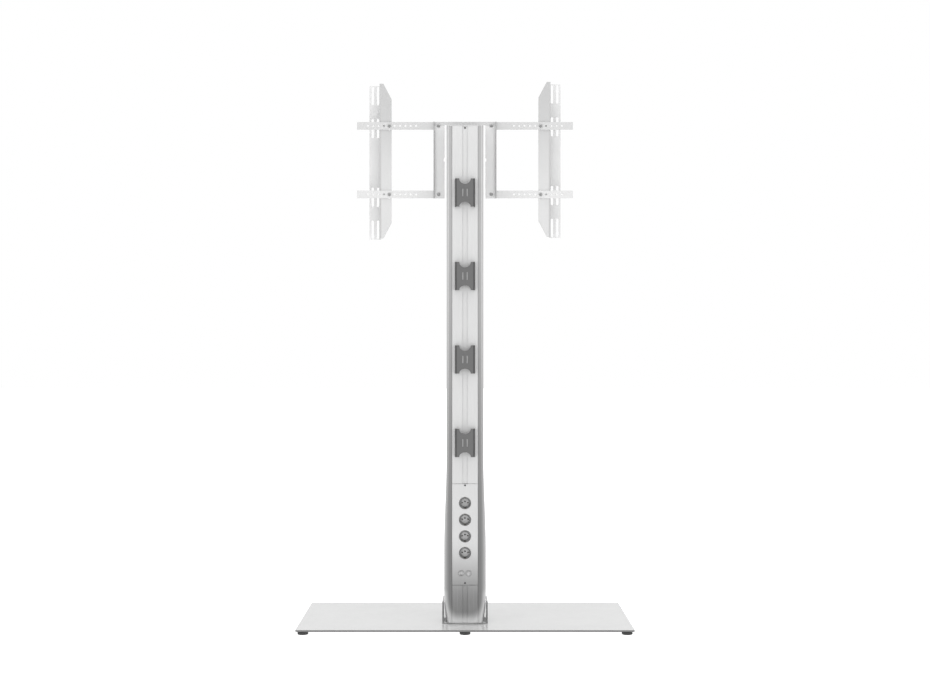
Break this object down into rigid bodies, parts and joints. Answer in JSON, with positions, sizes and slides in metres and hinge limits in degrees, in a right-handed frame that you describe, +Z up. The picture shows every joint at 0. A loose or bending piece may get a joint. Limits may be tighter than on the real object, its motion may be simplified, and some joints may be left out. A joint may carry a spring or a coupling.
{
  "type": "display floor stand",
  "caption": "Free-standing floor stand for a flat display, with a flat base plate, a cable column with power sockets and sliding cable clips, and a bracket with two slotted arms.",
  "frame": {"origin": "on the floor, under the middle of the base plate", "axes": "+Z up; -Y to the rear, where the cable clips and the sockets are; +Y to the side the display hangs on"},
  "size_m": [1.1, 0.5, 1.829],
  "materials": {
    "plate": "gloss powder coat",
    "bracket": "satin powder coat",
    "aluminium": "brushed, anodised",
    "panel": "satin, anodised",
    "socket": "fine satin moulding",
    "clip": "satin moulding",
    "dark": "matt",
    "rubber": "matt",
    "steel": "zinc plated",
    "brass": "bright"
  },
  "bodies": {
    "stand": {"base_plate": "plate", "column_shoe": "bracket", "top_cap": "bracket", "column_core": "aluminium", "side_cover_right": "aluminium", "side_cover_left": "aluminium", "rear_panel": "panel", "socket_panel": "panel", "lower_panel": "panel", "front_cover": "panel", "socket_1": "socket", "socket_2": "socket", "socket_3": "socket", "socket_4": "socket", "rocker_bezel": "socket", "reset_bezel": "socket", "socket_chassis": "dark", "mains_inlet": "dark", "panel_screw_top": "dark", "panel_screw_middle": "dark", "panel_screw_low": "dark", "foot_rear_left": "rubber", "foot_rear_middle": "rubber", "foot_rear_right": "rubber", "foot_front_left": "rubber", "foot_front_middle": "rubber", "foot_front_right": "rubber", "column_bolt_1": "steel", "column_bolt_2": "steel", "column_bolt_3": "steel", "column_bolt_4": "steel", "earth_bar": "brass", "live_bar": "brass", "neutral_bar": "brass"},
    "display_bracket": {"yoke": "bracket", "clamp_bar": "steel", "clamp_bolt_1": "steel", "clamp_bolt_2": "steel", "clamp_bolt_3": "steel", "rail_upper_left": "bracket", "rail_upper_right": "bracket", "rail_lower_left": "bracket", "rail_lower_right": "bracket", "rail_bolt_upper_left": "steel", "rail_bolt_upper_right": "steel", "rail_bolt_lower_left": "steel", "rail_bolt_lower_right": "steel", "arm_bolt_upper_left": "steel", "arm_bolt_upper_right": "steel", "arm_bolt_lower_left": "steel", "arm_bolt_lower_right": "steel"},
    "left_arm": {"arm_left": "bracket"},
    "right_arm": {"arm_right": "bracket"},
    "clip_1": {"cable_clip_1": "clip"},
    "clip_2": {"cable_clip_2": "clip"},
    "clip_3": {"cable_clip_3": "clip"},
    "clip_4": {"cable_clip_4": "clip"},
    "rocker": {"power_rocker": "panel"},
    "reset": {"reset_button": "panel"}
  },
  "joints": [
    {"name": "bracket_height", "type": "slide", "parent": "stand", "child": "display_bracket", "axis": [0, 0, 1], "range_m": [-0.012, 0.04]},
    {"name": "left_arm_height", "type": "slide", "parent": "display_bracket", "child": "left_arm", "axis": [0, 0, 1], "range_m": [-0.0048, 0.0108]},
    {"name": "right_arm_height", "type": "slide", "parent": "display_bracket", "child": "right_arm", "axis": [0, 0, 1], "range_m": [-0.0108, 0.0048]},
    {"name": "clip_1_height", "type": "slide", "parent": "stand", "child": "clip_1", "axis": [0, 0, 1], "range_m": [-0.09, 0.09]},
    {"name": "clip_2_height", "type": "slide", "parent": "stand", "child": "clip_2", "axis": [0, 0, 1], "range_m": [-0.09, 0.09]},
    {"name": "clip_3_height", "type": "slide", "parent": "stand", "child": "clip_3", "axis": [0, 0, 1], "range_m": [-0.09, 0.09]},
    {"name": "clip_4_height", "type": "slide", "parent": "stand", "child": "clip_4", "axis": [0, 0, 1], "range_m": [-0.09, 0.09]},
    {"name": "rocker_tilt", "type": "hinge", "parent": "stand", "child": "rocker", "pos_m": [-0.0125, -0.145, 0.186], "axis": [1, 0, 0], "range_deg": [0, 16]},
    {"name": "reset_travel", "type": "slide", "parent": "stand", "child": "reset", "axis": [0, 1, 0], "range_m": [0, 0.002], "stiffness_N_per_m": 600, "springref_m": -0.002}
  ]
}
